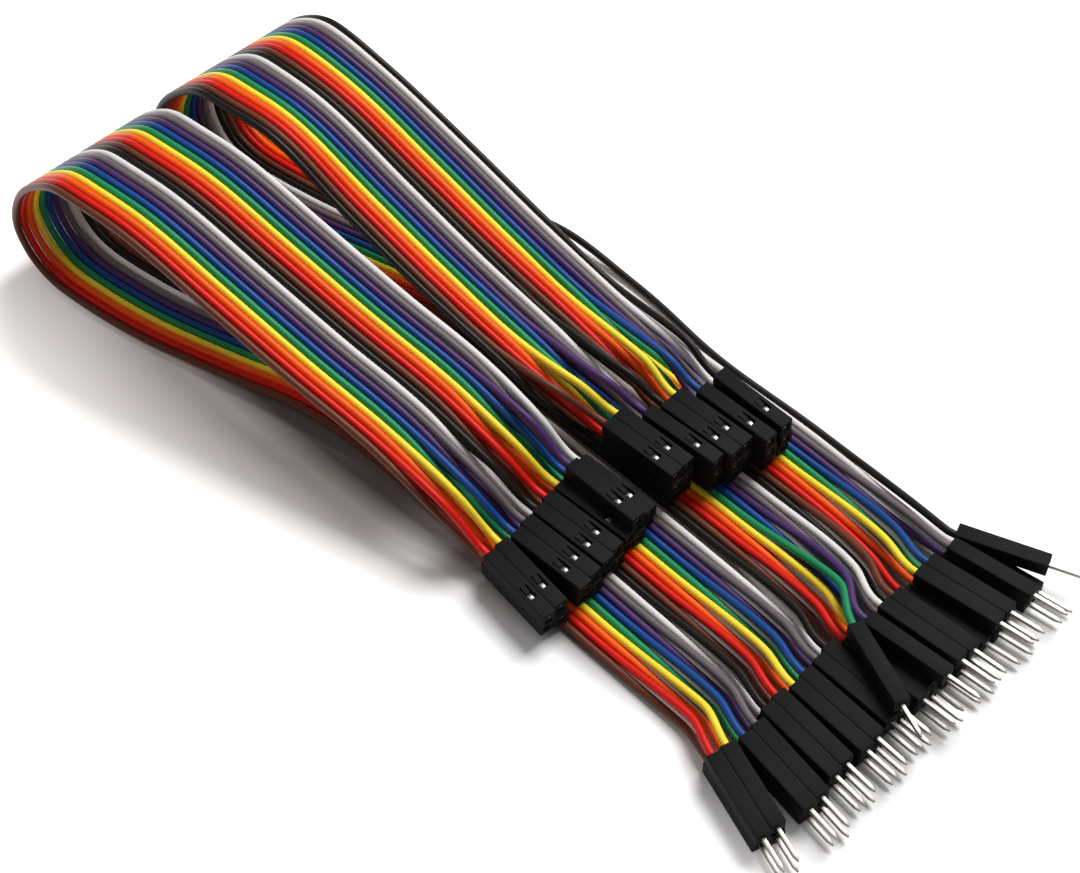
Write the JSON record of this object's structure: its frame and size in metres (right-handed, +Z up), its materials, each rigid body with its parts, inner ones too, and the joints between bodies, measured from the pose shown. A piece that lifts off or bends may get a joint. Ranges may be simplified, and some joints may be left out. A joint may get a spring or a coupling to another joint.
{
  "type": "breadboard jumper wires",
  "caption": "Rainbow ribbon of jumper wires folded back on itself, split part of the way, with square-pin housings on one end and socket housings on the other.",
  "frame": {"origin": "on the table, under the middle of the part's bounding box", "axes": "+X along the ribbon from the loop towards the pins, +Y across the ribbon from the first brown wire to the last black one, +Z up"},
  "size_m": [0.1638, 0.074, 0.0313],
  "materials": {
    "wire_brown": "soft extruded vinyl, satin sheen",
    "wire_red": "soft extruded vinyl, satin sheen",
    "wire_orange": "soft extruded vinyl, satin sheen",
    "wire_yellow": "soft extruded vinyl, satin sheen",
    "wire_green": "soft extruded vinyl, satin sheen",
    "wire_blue": "soft extruded vinyl, satin sheen",
    "wire_purple": "soft extruded vinyl, satin sheen",
    "wire_grey": "soft extruded vinyl, satin sheen",
    "wire_white": "soft extruded vinyl, satin sheen",
    "wire_black": "soft extruded vinyl, satin sheen",
    "housing_black": "moulded, fine satin"
  },
  "bodies": {
    "root": {"wire_01_brown": "wire_brown", "wire_02_red": "wire_red", "wire_03_orange": "wire_orange", "wire_04_yellow": "wire_yellow", "wire_05_green": "wire_green", "wire_06_blue": "wire_blue", "wire_07_purple": "wire_purple", "wire_08_grey": "wire_grey", "wire_09_white": "wire_white", "wire_10_black": "wire_black", "wire_11_brown": "wire_brown", "wire_12_red": "wire_red", "wire_13_orange": "wire_orange", "wire_14_yellow": "wire_yellow", "wire_15_green": "wire_green", "wire_16_blue": "wire_blue", "wire_17_purple": "wire_purple", "wire_18_grey": "wire_grey", "wire_19_white": "wire_white", "wire_20_black": "wire_black", "wire_21_brown": "wire_brown", "wire_22_red": "wire_red", "wire_23_orange": "wire_orange", "wire_24_yellow": "wire_yellow", "wire_25_green": "wire_green", "wire_26_blue": "wire_blue", "wire_27_purple": "wire_purple", "wire_28_grey": "wire_grey", "wire_29_white": "wire_white", "wire_30_black": "wire_black", "wire_31_brown": "wire_brown", "wire_32_red": "wire_red", "wire_33_orange": "wire_orange", "wire_34_yellow": "wire_yellow", "wire_35_green": "wire_green", "wire_36_blue": "wire_blue", "wire_37_purple": "wire_purple", "wire_38_grey": "wire_grey", "wire_39_white": "wire_white", "wire_40_black": "wire_black", "female_housings_01": "housing_black", "female_housings_02": "housing_black", "female_housings_03": "housing_black", "female_housings_04": "housing_black", "female_housings_05": "housing_black", "female_housings_06": "housing_black", "female_housings_07": "housing_black", "female_housings_08": "housing_black", "female_housings_09": "housing_black", "female_housings_10": "housing_black", "male_housings_01": "housing_black", "male_housings_02": "housing_black", "male_housings_03": "housing_black", "male_housings_04": "housing_black", "male_housings_05": "housing_black", "male_housings_06": "housing_black", "male_housings_07": "housing_black", "male_housings_08": "housing_black", "male_housings_09": "housing_black", "male_housings_10": "housing_black"}
  },
  "joints": []
}
